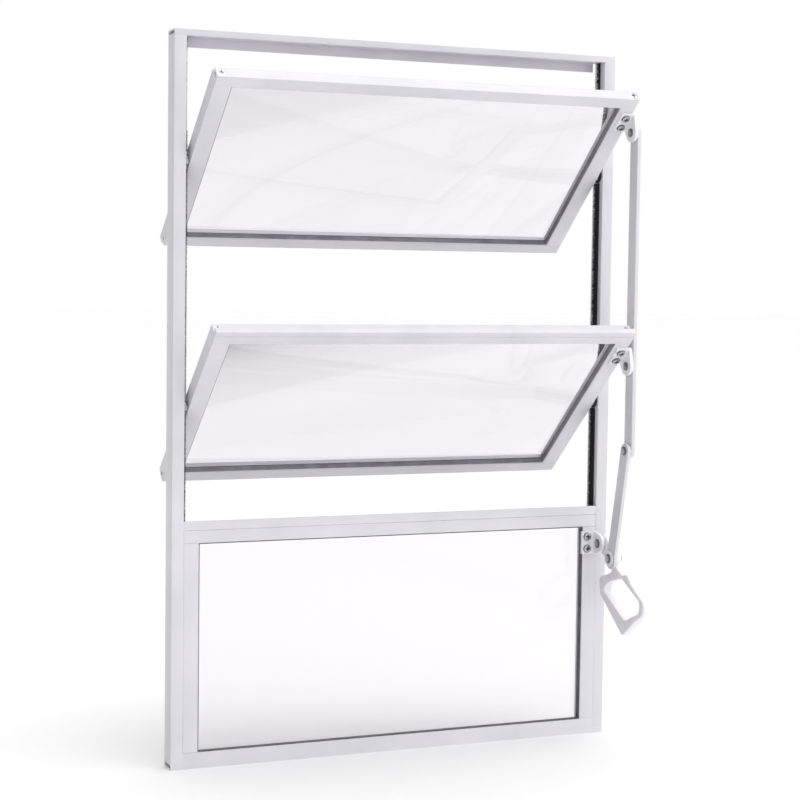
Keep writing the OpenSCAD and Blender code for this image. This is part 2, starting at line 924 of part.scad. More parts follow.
// Places a part drawn with the lever's arm along minus Y
module levered() {
    framed() translate([inner, lever_y, lever_z]) rotate([lever_turn, 0, 0])
        children();
}

// Turns a flat outline in Y and Z into a plate along X
module plate(x0, x1) {
    translate([x0, 0, 0]) rotate([90, 0, 90])
        linear_extrude(height = x1 - x0) children();
}

// Cast lever: hub, arm with a boss for the link, and a finger loop
module lever() {
    color(white) levered() difference() {
        union() {
            rod(0, lever_thick, hub_r);
            box([0, -lever_arm, -arm_half], [lever_thick, 0, arm_half]);
            translate([0, -lever_arm, 0]) rod(0, lever_thick, boss_r);
            plate(0, lever_thick) polygon(rounded(from_pin(loop_corners)));
            plate(-grip_extra, lever_thick) intersection() {
                polygon(rounded(from_pin(loop_corners)));
                polygon(from_pin(grip_corners));
            }
        }
        plate(-grip_extra - 1, lever_thick + 1) polygon(rounded(from_pin(hole_corners)));
        rod(-1, lever_thick + 1, lever_pin_r + running);
        translate([0, -lever_arm, 0]) rod(-1, lever_thick + 1, rivet_r);
    }
}

// Rivet of the link, fixed in the lever
module link_rivet() {
    color(steel) levered() translate([0, -lever_arm, 0])
        rivet(washer_x, lever_thick, rivet_r, link_head_r);
}

// Washer over the wide hole of the link
module link_washer() {
    color(white) levered() translate([washer_x, -lever_arm, 0])
        difference() {
            rod(0, washer_thick, washer_r);
            rod(-1, washer_thick + 1, rivet_r);
        }
}

head();
sill();
jamb_left();
jamb_right();
transom();
transom_front();
light_top_rail();
light_bottom_rail();
light_stile_left();
light_stile_right();
light_glass();
light_gasket();
pile_left();
pile_right();
fin_left();
fin_right();
pivot_bushes();
frame_screws();
lever_bracket();
lever_bracket_screws();
lever_rivet();
upper_top_rail();
upper_bottom_rail();
upper_stile_left();
upper_stile_right();
upper_glass();
upper_gasket();
upper_corner_screws();
upper_pivot_pins();
upper_bracket();
upper_bracket_screws();
upper_rivet();
lower_top_rail();
lower_bottom_rail();
lower_stile_left();
lower_stile_right();
lower_glass();
lower_gasket();
lower_corner_screws();
lower_pivot_pins();
lower_bracket();
lower_bracket_screws();
lower_rivet();
coupling_bar();
bar_rivet();
link();
lever();
link_rivet();
link_washer();
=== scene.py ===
"""Tilting window with two centre-hung vents over a fixed light, in white powder-coated aluminium."""
import json
import math

import bmesh
import bpy
import numpy as np
from mathutils import Matrix, Vector
from mathutils.geometry import tessellate_polygon

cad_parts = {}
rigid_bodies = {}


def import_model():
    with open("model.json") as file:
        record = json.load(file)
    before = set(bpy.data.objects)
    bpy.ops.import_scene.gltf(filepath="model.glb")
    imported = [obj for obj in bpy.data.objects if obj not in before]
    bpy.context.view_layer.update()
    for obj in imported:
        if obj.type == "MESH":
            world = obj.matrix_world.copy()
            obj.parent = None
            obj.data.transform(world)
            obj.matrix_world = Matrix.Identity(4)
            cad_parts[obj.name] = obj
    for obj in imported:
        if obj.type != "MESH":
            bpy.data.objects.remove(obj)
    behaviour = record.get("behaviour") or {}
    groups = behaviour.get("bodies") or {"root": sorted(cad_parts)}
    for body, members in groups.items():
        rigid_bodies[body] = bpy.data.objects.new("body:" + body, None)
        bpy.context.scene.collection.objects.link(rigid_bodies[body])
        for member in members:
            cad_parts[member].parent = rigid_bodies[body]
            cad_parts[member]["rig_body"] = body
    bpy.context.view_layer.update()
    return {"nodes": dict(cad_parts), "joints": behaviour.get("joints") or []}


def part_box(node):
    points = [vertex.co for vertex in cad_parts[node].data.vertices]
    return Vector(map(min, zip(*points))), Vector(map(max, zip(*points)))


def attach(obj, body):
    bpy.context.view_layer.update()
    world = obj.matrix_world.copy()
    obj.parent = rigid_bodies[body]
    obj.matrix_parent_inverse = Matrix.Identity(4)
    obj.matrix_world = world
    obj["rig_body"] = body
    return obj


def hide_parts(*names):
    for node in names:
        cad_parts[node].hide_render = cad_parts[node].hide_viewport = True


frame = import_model()


# ---------------------------------------------------------------- outer frame
# Head, sill and jambs are hollow aluminium extrusions, cut square, powder coated white
# before assembly and screwed together at the corners. The ends of head and sill stay open.

COAT_LIGHT = "#DEDCE2"
COAT_SHADE = "#D6D4DB"
COAT_IOR = 1.5
COAT_ROUGHNESS = (0.36, 0.50)
BLOTCH_MM = 45
ORANGE_PEEL_MM = 1.6
DIE_LINE_MM = 0.9
DIE_LINE_STRETCH = 60
EXTRUSION_EDGE = 0.00065
FLAT_ANGLE = 0.5
BEVEL_ANGLE = 30
MERGE = 1e-6


def linear(hex_colour):
    """Linear RGBA of an sRGB hex colour: below 0.04045 a twelfth, above it a power of 2.4."""
    parts = [int(hex_colour[i : i + 2], 16) / 255 for i in (1, 3, 5)]
    return [c / 12.92 if c <= 0.04045 else ((c + 0.055) / 1.055) ** 2.4 for c in parts] + [1.0]


def per_mm(size):
    """Noise scale, in cells per metre, for a pattern whose cells measure size millimetres."""
    return 1000 / size


def add(tree, kind, settings=(), **links):
    """Adds a node. Settings name its properties or input sockets; links join inputs to outputs."""
    made = tree.nodes.new(kind)
    for key, value in dict(settings).items():
        if key in made.inputs:
            made.inputs[key].default_value = value
        else:
            setattr(made, key, value)
    for key, source in links.items():
        name = key.replace("_", " ")
        socket = made.inputs[int(key[1:])] if key[1:].isdigit() else made.inputs[name]
        tree.links.new(source, socket)
    return made


def new_material(name):
    """An empty material with its Principled shader, and the object coordinates."""
    made = bpy.data.materials.new(name)
    made.use_nodes = True
    tree = made.node_tree
    shader = tree.nodes["Principled BSDF"]
    place = add(tree, "ShaderNodeTexCoord").outputs["Object"]
    return made, tree, shader, place


def two_tone(tree, shader, factor, first, second):
    """Drives the shader's colour between two hex colours by factor."""
    ramp = add(tree, "ShaderNodeValToRGB", Fac=factor)
    ramp.color_ramp.elements[0].color = linear(first)
    ramp.color_ramp.elements[1].color = linear(second)
    ramp.color_ramp.elements[0].position = 0.3
    ramp.color_ramp.elements[1].position = 0.7
    tree.links.new(ramp.outputs["Color"], shader.inputs["Base Color"])


def vary_roughness(tree, shader, factor, low, high):
    """Spreads factor from 0..1 over the given range of roughness."""
    spread = add(tree, "ShaderNodeMapRange", {"To Min": low, "To Max": high}, Value=factor)
    tree.links.new(spread.outputs["Result"], shader.inputs["Roughness"])


def powder_coat(name, along):
    """Polyester powder on an extrusion: a fine orange peel over die lines that run along it."""
    made, tree, shader, place = new_material(name)
    stretch = [1.0, 1.0, 1.0]
    stretch[along] = 1 / DIE_LINE_STRETCH
    lengthwise = add(tree, "ShaderNodeMapping", {"Scale": stretch}, Vector=place).outputs["Vector"]
    blotch = add(tree, "ShaderNodeTexNoise", {"Scale": per_mm(BLOTCH_MM), "Detail": 3.0}, Vector=place)
    peel = add(tree, "ShaderNodeTexNoise", {"Scale": per_mm(ORANGE_PEEL_MM), "Detail": 2.0}, Vector=place)
    lines = add(tree, "ShaderNodeTexNoise", {"Scale": per_mm(DIE_LINE_MM), "Detail": 2.0}, Vector=lengthwise)
    two_tone(tree, shader, blotch.outputs["Fac"], COAT_SHADE, COAT_LIGHT)
    vary_roughness(tree, shader, lines.outputs["Fac"], *COAT_ROUGHNESS)
    fine = add(tree, "ShaderNodeBump", {"Strength": 0.12, "Distance": 0.0002}, Height=peel.outputs["Fac"])
    long_lines = add(tree, "ShaderNodeBump", {"Strength": 0.08, "Distance": 0.0002},
                     Height=lines.outputs["Fac"], Normal=fine.outputs["Normal"])
    tree.links.new(long_lines.outputs["Normal"], shader.inputs["Normal"])
    shader.inputs["IOR"].default_value = COAT_IOR
    return made


def dress(piece, node, material):
    """The piece takes a CAD node's place and body, and one material."""
    piece.data.materials.clear()
    piece.data.materials.append(material)
    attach(piece, frame["nodes"][node]["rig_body"])
    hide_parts(node)
    return piece


def softened(node, edge, material):
    """Copy of a CAD node with doubles merged, flat faces made whole and sharp edges rounded by edge."""
    mesh = frame["nodes"][node].data.copy()
    piece = bpy.data.objects.new(node + "_finish", mesh)
    bpy.context.scene.collection.objects.link(piece)
    work = bmesh.new()
    work.from_mesh(mesh)
    bmesh.ops.remove_doubles(work, verts=work.verts, dist=MERGE)
    bmesh.ops.dissolve_limit(work, angle_limit=math.radians(FLAT_ANGLE), verts=work.verts, edges=work.edges)
    work.to_mesh(mesh)
    work.free()
    mesh.polygons.foreach_set("use_smooth", np.ones(len(mesh.polygons), bool))
    rounding = piece.modifiers.new("rounded_edges", "BEVEL")
    rounding.width = edge
    rounding.segments = 3
    rounding.limit_method = "ANGLE"
    rounding.angle_limit = math.radians(BEVEL_ANGLE)
    rounding.harden_normals = True
    return dress(piece, node, material)


coat_across = powder_coat("powder_coat_rails", 0)
coat_upright = powder_coat("powder_coat_uprights", 2)
for node in ("head", "sill", "transom", "transom_front"):
    softened(node, EXTRUSION_EDGE, coat_across)
for node in ("jamb_left", "jamb_right"):
    softened(node, EXTRUSION_EDGE, coat_upright)


# ---------------------------------------------------------------- fixed light
# The lower pane sits in its own four members. The rail runs over the stiles, and black
# glazing rubber holds the glass in a groove.

for node in ("light_top_rail", "light_bottom_rail"):
    softened(node, EXTRUSION_EDGE, coat_across)
for node in ("light_stile_left", "light_stile_right"):
    softened(node, EXTRUSION_EDGE, coat_upright)


# ---------------------------------------------------------------- glass
# Three panes of 3 mm float glass with ground edges. Iron in the glass gives the edge a faint
# tone, and light dust dulls the surface here and there.

GLASS_COLOUR = "#F6F3F8"
GLASS_IOR = 1.52
GLASS_EDGE = 0.0003
DUST_MM = 30


def float_glass(name):
    """Clear glass whose roughness rises slightly where a thin dust lies."""
    made, tree, shader, place = new_material(name)
    dust = add(tree, "ShaderNodeTexNoise", {"Scale": per_mm(DUST_MM), "Detail": 6.0}, Vector=place)
    vary_roughness(tree, shader, dust.outputs["Fac"], 0.0, 0.005)
    shader.inputs["Base Color"].default_value = linear(GLASS_COLOUR)
    shader.inputs["Transmission Weight"].default_value = 1.0
    shader.inputs["IOR"].default_value = GLASS_IOR
    return made


pane = float_glass("float_glass")
for node in ("light_glass", "upper_glass", "lower_glass"):
    softened(node, GLASS_EDGE, pane)


# ---------------------------------------------------------------- glazing rubber
# Extruded EPDM, one ring for each pane, with a rounded lip that stands beside the members
# and a bed under the glass. It is grey with a cloudy bloom, and a lighter grey on the vents.

RUBBER = "#55555A"
RUBBER_BLOOM = "#6E6E74"
VENT_RUBBER = "#75757B"
VENT_BLOOM = "#8E8E95"
RUBBER_ROUGHNESS = (0.5, 0.75)
RUBBER_GRAIN_MM = 2.2
RUBBER_EDGE = 0.00035


def glazing_rubber(name, colour, bloom_colour):
    """Matte rubber with a cloudy bloom and a fine skin."""
    made, tree, shader, place = new_material(name)
    bloom = add(tree, "ShaderNodeTexNoise", {"Scale": per_mm(12), "Detail": 4.0}, Vector=place)
    skin = add(tree, "ShaderNodeTexNoise", {"Scale": per_mm(RUBBER_GRAIN_MM), "Detail": 3.0}, Vector=place)
    two_tone(tree, shader, bloom.outputs["Fac"], colour, bloom_colour)
    vary_roughness(tree, shader, skin.outputs["Fac"], *RUBBER_ROUGHNESS)
    bump = add(tree, "ShaderNodeBump", {"Strength": 0.2, "Distance": 0.0002}, Height=skin.outputs["Fac"])
    tree.links.new(bump.outputs["Normal"], shader.inputs["Normal"])
    return made


rubber = glazing_rubber("glazing_rubber", RUBBER, RUBBER_BLOOM)
vent_rubber = glazing_rubber("vent_glazing_rubber", VENT_RUBBER, VENT_BLOOM)
softened("light_gasket", RUBBER_EDGE, rubber)
for node in ("upper_gasket", "lower_gasket"):
    softened(node, RUBBER_EDGE, vent_rubber)


# ---------------------------------------------------------------- weather pile
# Black polypropylene brush pile, woven onto a thin backing that slides into each jamb. It
# seals the gap beside the vents, and stops short above and below each pivot.

PILE_DARK = "#09090A"
PILE_LIGHT = "#1C1C20"
BACKING = 0.0007
TUFT_PITCH = 0.0009
TUFT_WIDTH = 0.00034
TUFT_LEAN = 0.0007


def pile_fibre(name):
    """Black fibre, a little lighter from tuft to tuft, with a soft sheen."""
    made, tree, shader, place = new_material(name)
    tufts = add(tree, "ShaderNodeTexNoise", {"Scale": per_mm(1.5), "Detail": 2.0}, Vector=place)
    two_tone(tree, shader, tufts.outputs["Fac"], PILE_DARK, PILE_LIGHT)
    shader.inputs["Roughness"].default_value = 0.85
    shader.inputs["Sheen Weight"].default_value = 0.15
    return made


def grid_mesh(name, points, faces):
    """A new object from an array of points and an array of faces with equal corner counts."""
    mesh = bpy.data.meshes.new(name)
    mesh.from_pydata(points.reshape(-1, 3).tolist(), [], [list(map(int, f)) for f in faces])
    mesh.update()
    piece = bpy.data.objects.new(name, mesh)
    bpy.context.scene.collection.objects.link(piece)
    return piece


def solids_of(node):
    """Lowest and highest corners of each separate solid of a CAD node, sorted by height."""
    work = bmesh.new()
    work.from_mesh(frame["nodes"][node].data)
    bmesh.ops.remove_doubles(work, verts=work.verts, dist=MERGE)
    left, boxes = set(work.verts), []
    while left:
        group, front = set(), [left.pop()]
        while front:
            vert = front.pop()
            group.add(vert)
            near = {edge.other_vert(vert) for edge in vert.link_edges} & left
            left -= near
            front += near
        at = np.array([vert.co for vert in group])
        boxes.append((at.min(0), at.max(0)))
    work.free()
    return sorted(boxes, key=lambda pair: tuple(pair[0][[2, 0]]))


BOX_FACES = np.array([[0, 1, 3, 2], [4, 6, 7, 5], [0, 4, 5, 1], [2, 3, 7, 6], [0, 2, 6, 4], [1, 5, 7, 3]])


def tufts(node, seed):
    """Leaning tapered tufts on a regular grid of roots, from the backing to the pile's reach.

    Each root is the grid point plus a random share of the pitch. A tuft has a square foot of
    TUFT_WIDTH, a tip a third as wide, and a tip shifted sideways by the lean times a random share.
    """
    random = np.random.default_rng(seed)
    points, faces = [], []
    for low, high in solids_of(node):
        out = -1.0 if low[0] > 0 else 1.0
        wall = high[0] if low[0] > 0 else low[0]
        reach = high[0] - low[0]
        pitch_y = (high[1] - low[1]) / max(2, round((high[1] - low[1]) / TUFT_PITCH))
        ys = np.arange(low[1] + pitch_y / 2, high[1], pitch_y)
        zs = np.arange(low[2] + TUFT_PITCH / 2, high[2], TUFT_PITCH)
        root_y, root_z = (a.ravel() for a in np.meshgrid(ys, zs))
        count = len(root_y)
        shift = random.uniform(-1, 1, (4, count))
        height = reach * (0.93 + 0.06 * shift[0])
        half = TUFT_WIDTH * np.array([1.0, 0.34])
        cloud = np.empty((count, 2, 2, 2, 3))
        for end in (0, 1):
            x = wall + out * (BACKING * 0.5 if end == 0 else height)
            y = root_y + shift[1] * pitch_y * 0.2 + end * shift[2] * TUFT_LEAN * 0.3
            z = root_z + shift[3] * TUFT_PITCH * 0.2 + end * shift[2] * TUFT_LEAN * 0.5
            for i, j in ((0, 0), (0, 1), (1, 0), (1, 1)):
                cloud[:, end, i, j, 0] = x
                cloud[:, end, i, j, 1] = np.clip(y + (2 * i - 1) * half[end], low[1], high[1])
                cloud[:, end, i, j, 2] = np.clip(z + (2 * j - 1) * half[end], low[2], high[2])
        base = sum(len(p) for p in points)
        order = BOX_FACES if out > 0 else BOX_FACES[:, ::-1]
        faces.append((np.arange(count)[:, None, None] * 8 + order + base).reshape(-1, 4))
        points.append(cloud.reshape(-1, 3))
        strip = np.array([[x, y, z] for x in (wall, wall + out * BACKING)
                          for y in (low[1], high[1]) for z in (low[2], high[2])])
        faces.append(order + base + count * 8)
        points.append(strip)
    piece = grid_mesh(node + "_tufts", np.concatenate(points), np.concatenate(faces))
    work = bmesh.new()
    work.from_mesh(piece.data)
    bmesh.ops.recalc_face_normals(work, faces=work.faces)
    work.to_mesh(piece.data)
    work.free()
    return piece


fibre = pile_fibre("brush_pile")
for seed, node in enumerate(("pile_left", "pile_right", "fin_left", "fin_right")):
    dress(tufts(node, seed), node, fibre)


# ---------------------------------------------------------------- bushes and screws
# Moulded nylon bushes carry the pivot pins. The corner screws are zinc-plated, countersunk,
# with a cross recess, and are driven into round ports inside the extrusions.

NYLON = "#1C1C1F"
NYLON_LIGHT = "#26262A"
ZINC = "#C6C7C9"
ZINC_SHADE = "#A3A5A8"
ZINC_ROUGHNESS = (0.22, 0.42)
SCREW_EDGE = 0.00015
SUNK_SCREW_EDGE = 0.0004
# Dark grey of the painted shade in screw recesses and on screw and rivet rims.
PAINTED_SHADE_COLOUR = "#3A3A3E"


def moulded_nylon(name):
    """Semi-matte nylon with a spark-eroded mould texture."""
    made, tree, shader, place = new_material(name)
    grain = add(tree, "ShaderNodeTexNoise", {"Scale": per_mm(0.6), "Detail": 2.0}, Vector=place)
    two_tone(tree, shader, grain.outputs["Fac"], NYLON, NYLON_LIGHT)
    shader.inputs["Roughness"].default_value = 0.55
    shader.inputs["IOR"].default_value = 1.53
    bump = add(tree, "ShaderNodeBump", {"Strength": 0.2, "Distance": 0.0001}, Height=grain.outputs["Fac"])
    tree.links.new(bump.outputs["Normal"], shader.inputs["Normal"])
    return made


def plated(name, light, shade, roughness):
    """Plated steel: cloudy, finely scratched, and darkened by painted shade where the mesh's painted_shade
    value is 1.
    """
    made, tree, shader, place = new_material(name)
    cloud = add(tree, "ShaderNodeTexNoise", {"Scale": per_mm(3), "Detail": 4.0}, Vector=place)
    fine = add(tree, "ShaderNodeTexNoise", {"Scale": per_mm(0.4), "Detail": 2.0}, Vector=place)
    two_tone(tree, shader, cloud.outputs["Fac"], shade, light)
    # Painted shade: the mesh's shade value mixes the colour towards a dark grey.
    painted_shade = add(tree, "ShaderNodeAttribute", {"attribute_name": "painted_shade"}).outputs["Fac"]
    unshaded = shader.inputs["Base Color"].links[0].from_socket
    shaded = add(tree, "ShaderNodeMixRGB", {"Color2": linear(PAINTED_SHADE_COLOUR)}, Fac=painted_shade, Color1=unshaded)
    tree.links.new(shaded.outputs["Color"], shader.inputs["Base Color"])
    vary_roughness(tree, shader, fine.outputs["Fac"], *roughness)
    shader.inputs["Metallic"].default_value = 1.0
    bump = add(tree, "ShaderNodeBump", {"Strength": 0.15, "Distance": 0.0001}, Height=fine.outputs["Fac"])
    tree.links.new(bump.outputs["Normal"], shader.inputs["Normal"])
    return made


nylon = moulded_nylon("nylon_bush")
zinc = plated("zinc_plate", ZINC, ZINC_SHADE, ZINC_ROUGHNESS)
softened("pivot_bushes", SCREW_EDGE, nylon)
for node in ("frame_screws", "upper_corner_screws", "lower_corner_screws"):
    softened(node, SUNK_SCREW_EDGE, zinc)


# ---------------------------------------------------------------- vents
# Each vent is two rails over two stiles, in the same coated extrusion. It turns on steel pins
# half way up. The lower vent's lip closes in front of the upper vent's rear edge.

coat_slanted = powder_coat("powder_coat_stiles", 2)
for vent in ("upper", "lower"):
    for rail in ("top_rail", "bottom_rail"):
        softened(f"{vent}_{rail}", EXTRUSION_EDGE, coat_across)
    for side in ("left", "right"):
        softened(f"{vent}_stile_{side}", EXTRUSION_EDGE, coat_slanted)
    softened(f"{vent}_pivot_pins", SCREW_EDGE, zinc)


# ---------------------------------------------------------------- brackets
# Small cast angle brackets: a base screwed to the member and an ear with a round nose that
# holds the rivet. They are painted white, with soft edges from the casting.

PAINT_LIGHT = "#F4F2F6"
PAINT_SHADE = "#ECEAF0"
PAINT_ROUGHNESS = (0.28, 0.42)
CAST_GRAIN_MM = 1.1
BRACKET_EDGE = 0.0007


def painted_casting(name):
    """Smooth white paint over the slightly grainy skin of a die casting."""
    made, tree, shader, place = new_material(name)
    flow = add(tree, "ShaderNodeTexNoise", {"Scale": per_mm(14), "Detail": 3.0}, Vector=place)
    grain = add(tree, "ShaderNodeTexNoise", {"Scale": per_mm(CAST_GRAIN_MM), "Detail": 3.0}, Vector=place)
    two_tone(tree, shader, flow.outputs["Fac"], PAINT_SHADE, PAINT_LIGHT)
    vary_roughness(tree, shader, grain.outputs["Fac"], *PAINT_ROUGHNESS)
    bump = add(tree, "ShaderNodeBump", {"Strength": 0.12, "Distance": 0.0002}, Height=grain.outputs["Fac"])
    tree.links.new(bump.outputs["Normal"], shader.inputs["Normal"])
    shader.inputs["IOR"].default_value = COAT_IOR
    return made


casting = painted_casting("painted_casting")
for node in ("upper_bracket", "lower_bracket", "lever_bracket"):
    softened(node, BRACKET_EDGE, casting)


# ---------------------------------------------------------------- bracket screws
# Two zinc-plated pan-head screws hold each bracket. The head is a flat dome with a cross
# recess, and its rim is rolled into a small round edge. The recess and the rim carry painted shade.

HEAD_RADIUS = 0.0037
HEAD_HEIGHT = 0.0022
RIM = 0.0006
RECESS_ARM = 0.0021
RECESS_HALF = 0.0005
RECESS_DEPTH = 0.0014
RECESS_WALL = 0.00025
SHANK_RADIUS = 0.0016
DOME_FALL = 0.38
# Strength of the painted shade down the rim of a pan head.
RIM_SHADE = 0.8
BASE_REACH = 0.011
SHARP_ANGLE = 38
HEAD_RINGS = 44
HEAD_SPOKES = 96


def smooth_step(t):
    """3 t squared minus 2 t cubed, with t held between 0 and 1."""
    t = np.clip(t, 0, 1)
    return t * t * (3 - 2 * t)


def pan_head(radius, height):
    """Height of a domed head over a disc, with a cross cut out of it.

    The dome falls by the square of the distance from the centre, a quarter circle closes the rim,
    and the cross lowers what is within half its width of either arm, deeper towards the centre.
    Also gives the painted shade, which is 1 in the cross and grows to 0.8 down the rim.
    """
    spokes = np.arange(HEAD_SPOKES) / HEAD_SPOKES * 2 * np.pi
    share, turn = np.meshgrid(np.linspace(0, 1, HEAD_RINGS), spokes, indexing="ij")
    away = share * radius
    x, y = away * np.cos(turn), away * np.sin(turn)
    dome = height * (1 - DOME_FALL * (away / radius) ** 2)
    rim = np.clip((away - (radius - RIM)) / RIM, 0, 1)
    dome = dome - (1 - np.sqrt(np.maximum(0, 1 - rim**2))) * dome[-1, 0]
    arm = np.minimum(np.maximum(np.abs(x) - RECESS_HALF, np.abs(y) - RECESS_ARM),
                     np.maximum(np.abs(y) - RECESS_HALF, np.abs(x) - RECESS_ARM))
    centre = np.maximum(0.35, 1 - away / RECESS_ARM)
    inside = smooth_step(0.5 - arm / RECESS_WALL)
    return np.stack([x, y, dome - RECESS_DEPTH * centre * inside], -1), np.maximum(inside, RIM_SHADE * rim)


def ring_faces(rings, spokes):
    """Quads between neighbouring rings of a closed tube of points."""
    i, j = np.meshgrid(np.arange(rings - 1), np.arange(spokes), indexing="ij")
    k = (j + 1) % spokes
    corners = [i * spokes + j, (i + 1) * spokes + j, (i + 1) * spokes + k, i * spokes + k]
    return np.stack(corners, -1).reshape(-1, 4)


def finish_surface(piece):
    """Merges what coincides, points the faces outwards and shades smoothly, sharp edges apart."""
    work = bmesh.new()
    work.from_mesh(piece.data)
    bmesh.ops.remove_doubles(work, verts=work.verts, dist=1e-7)
    bmesh.ops.recalc_face_normals(work, faces=work.faces)
    work.to_mesh(piece.data)
    work.free()
    piece.data.polygons.foreach_set("use_smooth", np.ones(len(piece.data.polygons), bool))
    piece.data.set_sharp_from_angle(angle=math.radians(SHARP_ANGLE))


def pan_screws(node):
    """A head and a plain shank for each screw of a bracket, square to the bracket's base."""
    bracket = frame["nodes"][node.replace("_screws", "")]
    normals = np.array([p.normal for p in bracket.data.polygons])
    areas = np.array([p.area for p in bracket.data.polygons])
    centres = np.array([p.center for p in bracket.data.polygons])
    facing = (np.abs(normals[:, 0]) < 1e-3) & (centres[:, 0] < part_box(bracket.name)[0].x + BASE_REACH)
    facing &= normals[:, 1] < -0.3
    out = normals[facing][np.argmax(areas[facing])]
    out = out / np.linalg.norm(out)
    side = np.array([1.0, 0.0, 0.0])
    up = np.cross(out, side)
    heads, faces, shade_values = [], [], []
    for low, high in solids_of(node):
        middle = (low + high) / 2
        cloud = np.array([v.co for v in frame["nodes"][node].data.vertices])
        own = cloud[np.all((cloud >= low - 1e-6) & (cloud <= high + 1e-6), axis=1)]
        top = (own @ out).max()
        seat = top - HEAD_HEIGHT
        tail = (own @ out).min()
        axis_up = (own @ up).max() / 2 + (own @ up).min() / 2
        flat, painted_shade = pan_head(HEAD_RADIUS, HEAD_HEIGHT)
        foot = [(HEAD_RADIUS, 0.0), (SHANK_RADIUS, 0.0), (SHANK_RADIUS, tail - seat), (0.0, tail - seat)]
        turn = np.arange(HEAD_SPOKES) / HEAD_SPOKES * 2 * np.pi
        rings = [np.stack([r * np.cos(turn), r * np.sin(turn), np.full(HEAD_SPOKES, h)], -1)
                 for r, h in foot]
        local = np.concatenate([flat, np.array(rings)])
        world = (local[..., :1] * side + local[..., 1:2] * up + (local[..., 2:] + seat) * out)
        world = world + side * middle[0] + up * axis_up
        faces.append(ring_faces(len(local), HEAD_SPOKES) + sum(len(h) for h in heads))
        heads.append(world.reshape(-1, 3))
        shade_values += [painted_shade.ravel(), np.zeros(HEAD_SPOKES * len(foot))]
    piece = grid_mesh(node + "_heads", np.concatenate(heads), np.concatenate(faces))
    # The painted shade of each head, stored per point for the plated material.
    piece.data.attributes.new("painted_shade", "FLOAT", "POINT").data.foreach_set("value", np.concatenate(shade_values))
    finish_surface(piece)
    return piece


for node in ("upper_bracket_screws", "lower_bracket_screws", "lever_bracket_screws"):
    dress(pan_screws(node), node, zinc)


# ---------------------------------------------------------------- bar and link
# A flat extruded bar joins both vents, and a shorter flat link hangs from its lower end.
# Their ends are stamped round, and they carry the same white coat.

BAR_EDGE = 0.00045

softened("coupling_bar", BAR_EDGE, coat_upright)
softened("link", BAR_EDGE, coat_upright)


# ---------------------------------------------------------------- rivets
# Solid steel rivets with low domed heads, one at each pivot of the linkage. They are plated
# and dull, with a ring of painted shade round the rim of each head.

RIVET = "#CFD0D4"
RIVET_SHADE = "#AEB0B6"
RIVET_ROUGHNESS = (0.35, 0.55)
RIVET_SPOKES = 48
# Strength of the painted shade round the rim of a rivet head.
RIVET_RIM_SHADE = 0.7
RIVET_HEAD = 0.0017
RIVET_LIP = 0.0005


def domed_rivet(node, shank):
    """A rivet along X, turned from a profile: shank, flat underside and a quarter-ellipse dome.

    Painted shade is full on the outer fifth of the head's radius and fades to 0 over the next fifth.
    """
    low, high = (np.array(c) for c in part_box(node))
    head = (high[2] - low[2]) / 2
    thick = RIVET_HEAD
    arc = np.linspace(0, np.pi / 2, 9)
    dome_r = head * np.cos(arc)
    dome_x = RIVET_LIP + (thick - RIVET_LIP) * np.sin(arc)
    left = [(low[0] + thick - x, r) for x, r in zip(dome_x[::-1], dome_r[::-1])]
    right = [(high[0] - thick + x, r) for x, r in zip(dome_x, dome_r)]
    waist = [(low[0] + thick, head), (low[0] + thick, shank),
             (high[0] - thick, shank), (high[0] - thick, head)]
    profile = np.array(left + waist + right)
    turn = np.arange(RIVET_SPOKES) / RIVET_SPOKES * 2 * np.pi
    points = np.stack([np.repeat(profile[:, :1], RIVET_SPOKES, 1),
                       (low[1] + high[1]) / 2 + profile[:, 1:] * np.cos(turn),
                       (low[2] + high[2]) / 2 + profile[:, 1:] * np.sin(turn)], -1)
    piece = grid_mesh(node + "_domed", points, ring_faces(len(profile), RIVET_SPOKES))
    # Painted shade round the outer part of the head.
    painted_shade = np.repeat(RIVET_RIM_SHADE * smooth_step((profile[:, 1] / head - 0.6) / 0.2), RIVET_SPOKES)
    piece.data.attributes.new("painted_shade", "FLOAT", "POINT").data.foreach_set("value", painted_shade)
    finish_surface(piece)
    return piece


dull_steel = plated("dull_rivet", RIVET, RIVET_SHADE, RIVET_ROUGHNESS)
for node, shank in (("upper_rivet", 0.0025), ("lower_rivet", 0.0025), ("bar_rivet", 0.0025),
                    ("link_rivet", 0.0025), ("lever_rivet", 0.003)):
    dress(domed_rivet(node, shank), node, dull_steel)
softened("link_washer", SCREW_EDGE, casting)


# ---------------------------------------------------------------- lever
# The lever is one white-painted die casting: a hub on the bracket's rivet, a short arm with
# the link's pin, and a finger loop whose lower band is thicker. All its edges are rounded.

LEVER_TURN = 25.773
LEVER_THICK = 0.006
LEVER_EDGE = 0.0018
HOLE_EDGE = 0.0012
GRIP_EXTRA = 0.0026
GRIP_FROM = -0.017
GRIP_FULL = -0.027
OUTLINE_STEP = 0.0009
EDGE_STEPS = 6
LEVER_OUTLINE = [(8, 8, 7.8), (-7, 8, 6), (-14, 5.6, 8), (-29.6, 5.6, 5.4), (-30, -4.2, 3),
                 (-44, -4.4, 5), (-50.5, 1, 4), (-61, -3.2, 10), (-86, -5, 7),
                 (-90, -14.5, 7), (-72.5, -49, 4.5), (-22, -38.5, 8), (-14, -26.5, 5), (-27.5, -11, 4),
                 (-22, -6.8, 4), (-12, -5.6, 6), (-7, -8, 6), (8, -8, 7.8)]
FINGER_HOLE = [(-30, -20.5, 8), (-43.8, -7.8, 5), (-80, -8.6, 4), (-82.5, -17.5, 6), (-70, -34.5, 9),
               (-25, -32, 4)]


